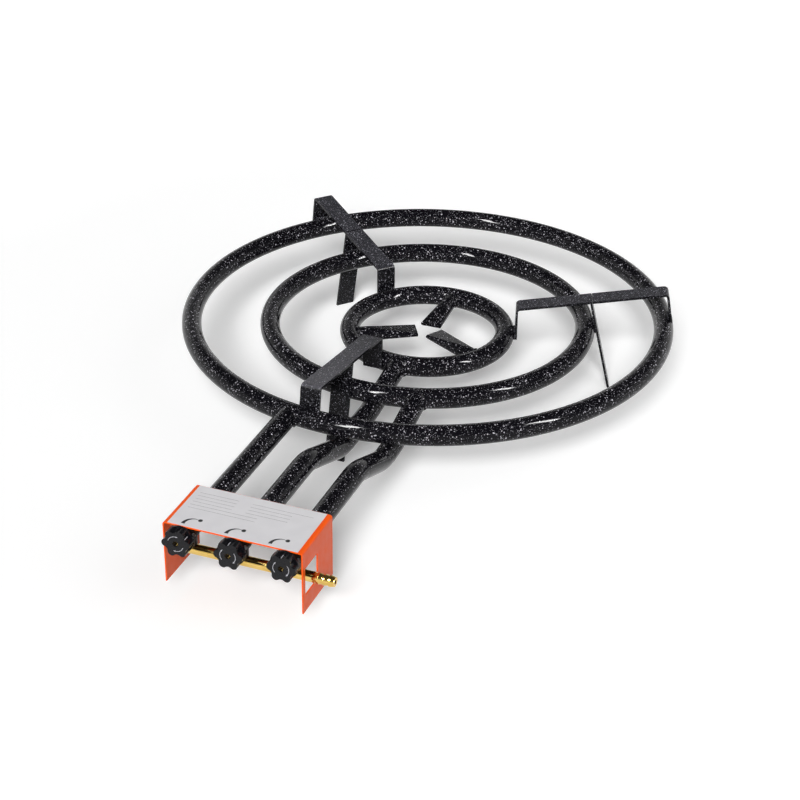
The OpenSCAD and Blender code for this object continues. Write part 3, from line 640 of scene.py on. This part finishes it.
def make_floor():
    """Pale floor that keeps the part's soft shadow and reads as white to the camera."""
    mesh = bpy.data.meshes.new("floor")
    corners = [(x * FLOOR_HALF, y * FLOOR_HALF, 0) for x, y in ((-1, -1), (1, -1), (1, 1), (-1, 1))]
    mesh.from_pydata(corners, [], [(0, 1, 2, 3)])
    floor = bpy.data.objects.new("floor", mesh)
    bpy.context.collection.objects.link(floor)
    material = bpy.data.materials.new("floor")
    material.use_nodes = True
    nodes = material.node_tree.nodes
    links = material.node_tree.links
    nodes.remove(nodes["Principled BSDF"])
    seen = seen_ray(nodes, links)
    tone = nodes.new("ShaderNodeMix")
    tone.data_type = "RGBA"
    links.new(seen, tone.inputs[0])
    tone.inputs[6].default_value = (FLOOR_BOUNCE, FLOOR_BOUNCE, FLOOR_BOUNCE, 1)
    tone.inputs[7].default_value = (1, 1, 1, 1)
    diffuse = nodes.new("ShaderNodeBsdfDiffuse")
    links.new(tone.outputs[2], diffuse.inputs["Color"])
    spread = nodes.new("ShaderNodeVectorMath")
    spread.operation = "LENGTH"
    links.new(nodes.new("ShaderNodeTexCoord").outputs["Object"], spread.inputs[0])
    # Painted shade: the floor glows less near the part, deepening its shadow there.
    level = nodes.new("ShaderNodeMapRange")
    links.new(spread.outputs["Value"], level.inputs["Value"])
    level.inputs["From Min"].default_value = GLOW_FROM
    level.inputs["From Max"].default_value = GLOW_TO
    level.inputs["To Min"].default_value = GLOW_NEAR
    level.inputs["To Max"].default_value = GLOW_FAR
    share = nodes.new("ShaderNodeMath")
    share.operation = "MULTIPLY"
    links.new(seen, share.inputs[0])
    links.new(level.outputs["Result"], share.inputs[1])
    glow = nodes.new("ShaderNodeEmission")
    links.new(share.outputs[0], glow.inputs["Strength"])
    both = nodes.new("ShaderNodeAddShader")
    links.new(diffuse.outputs[0], both.inputs[0])
    links.new(glow.outputs[0], both.inputs[1])
    links.new(both.outputs[0], nodes["Material Output"].inputs["Surface"])
    mesh.materials.append(material)


def seen_ray(nodes, links):
    """One for the rays that show a surface directly, in a mirror or through glass; nothing for the rest."""
    path = nodes.new("ShaderNodeLightPath")
    total = path.outputs["Is Camera Ray"]
    for name in ("Is Glossy Ray", "Is Transmission Ray"):
        pick = nodes.new("ShaderNodeMath")
        pick.operation = "MAXIMUM"
        links.new(total, pick.inputs[0])
        links.new(path.outputs[name], pick.inputs[1])
        total = pick.outputs[0]
    return total


def make_world():
    """Even fill light; mirrors see a pale horizon under a dark ceiling."""
    world = bpy.data.worlds.new("studio")
    bpy.context.scene.world = world
    world.use_nodes = True
    nodes = world.node_tree.nodes
    links = world.node_tree.links
    background = nodes["Background"]
    place = nodes.new("ShaderNodeTexCoord")
    split = nodes.new("ShaderNodeSeparateXYZ")
    links.new(place.outputs["Generated"], split.inputs[0])
    ramp = nodes.new("ShaderNodeValToRGB")
    ramp.color_ramp.elements[0].position = 0.24
    ramp.color_ramp.elements[0].color = (1, 1, 1, 1)
    ramp.color_ramp.elements[1].position = 0.56
    ramp.color_ramp.elements[1].color = (0.06, 0.06, 0.06, 1)
    links.new(split.outputs["Z"], ramp.inputs[0])
    mix = nodes.new("ShaderNodeMix")
    mix.data_type = "RGBA"
    links.new(seen_ray(nodes, links), mix.inputs[0])
    mix.inputs[6].default_value = (FILL, FILL, FILL, 1)
    links.new(ramp.outputs[0], mix.inputs[7])
    links.new(mix.outputs[2], background.inputs["Color"])


def add_lamp(data, bearing, elevation, distance):
    """Hangs a lamp on a sphere round the part, facing its middle."""
    b = math.radians(bearing)
    e = math.radians(elevation)
    away = Vector((math.cos(b) * math.cos(e), math.sin(b) * math.cos(e), math.sin(e)))
    lamp = bpy.data.objects.new(data.name, data)
    lamp.location = Vector(LAMP_TARGET) + away * distance
    lamp.rotation_euler = (-away).to_track_quat("-Z", "Y").to_euler()
    bpy.context.collection.objects.link(lamp)
    return lamp


def make_lamps():
    """A broad key light beside the camera, a wide panel at the right, and softboxes that only mirrors see."""
    sun = bpy.data.lights.new("key", "SUN")
    sun.energy = KEY_STRENGTH
    sun.angle = KEY_WIDTH
    add_lamp(sun, *KEY_PLACE).visible_glossy = False
    panel = bpy.data.lights.new("panel", "AREA")
    panel.size = PANEL_SIZE
    panel.energy = PANEL_WATTS
    add_lamp(panel, *PANEL_PLACE).visible_glossy = False
    for name, place in SOFTBOXES.items():
        box = bpy.data.lights.new(name, "AREA")
        box.shape = "RECTANGLE"
        box.size, box.size_y = SOFTBOX_SIZE
        box.energy = SOFTBOX_WATTS
        add_lamp(box, *place).visible_diffuse = False


def make_camera():
    """The photograph's view: place and axes found from the rings."""
    right = Vector((0.93187, 0.36263, 0.01105))
    up = Vector((-0.18945, 0.46041, 0.86727))
    forward = Vector((-0.30942, 0.81027, -0.49774))
    place = Vector((742.2, -2038.3, 1208.75)) * MM
    data = bpy.data.cameras.new("camera")
    data.sensor_fit = "HORIZONTAL"
    data.sensor_width = 36.0
    data.lens = 85.81
    data.clip_end = 50.0
    camera = bpy.data.objects.new("camera", data)
    camera.matrix_world = Matrix((
        (right.x, up.x, -forward.x, place.x),
        (right.y, up.y, -forward.y, place.y),
        (right.z, up.z, -forward.z, place.z),
        (0, 0, 0, 1)))
    bpy.context.collection.objects.link(camera)
    bpy.context.scene.camera = camera


make_floor()
make_world()
make_lamps()
make_camera()
bpy.context.scene.view_settings.view_transform = "Standard"
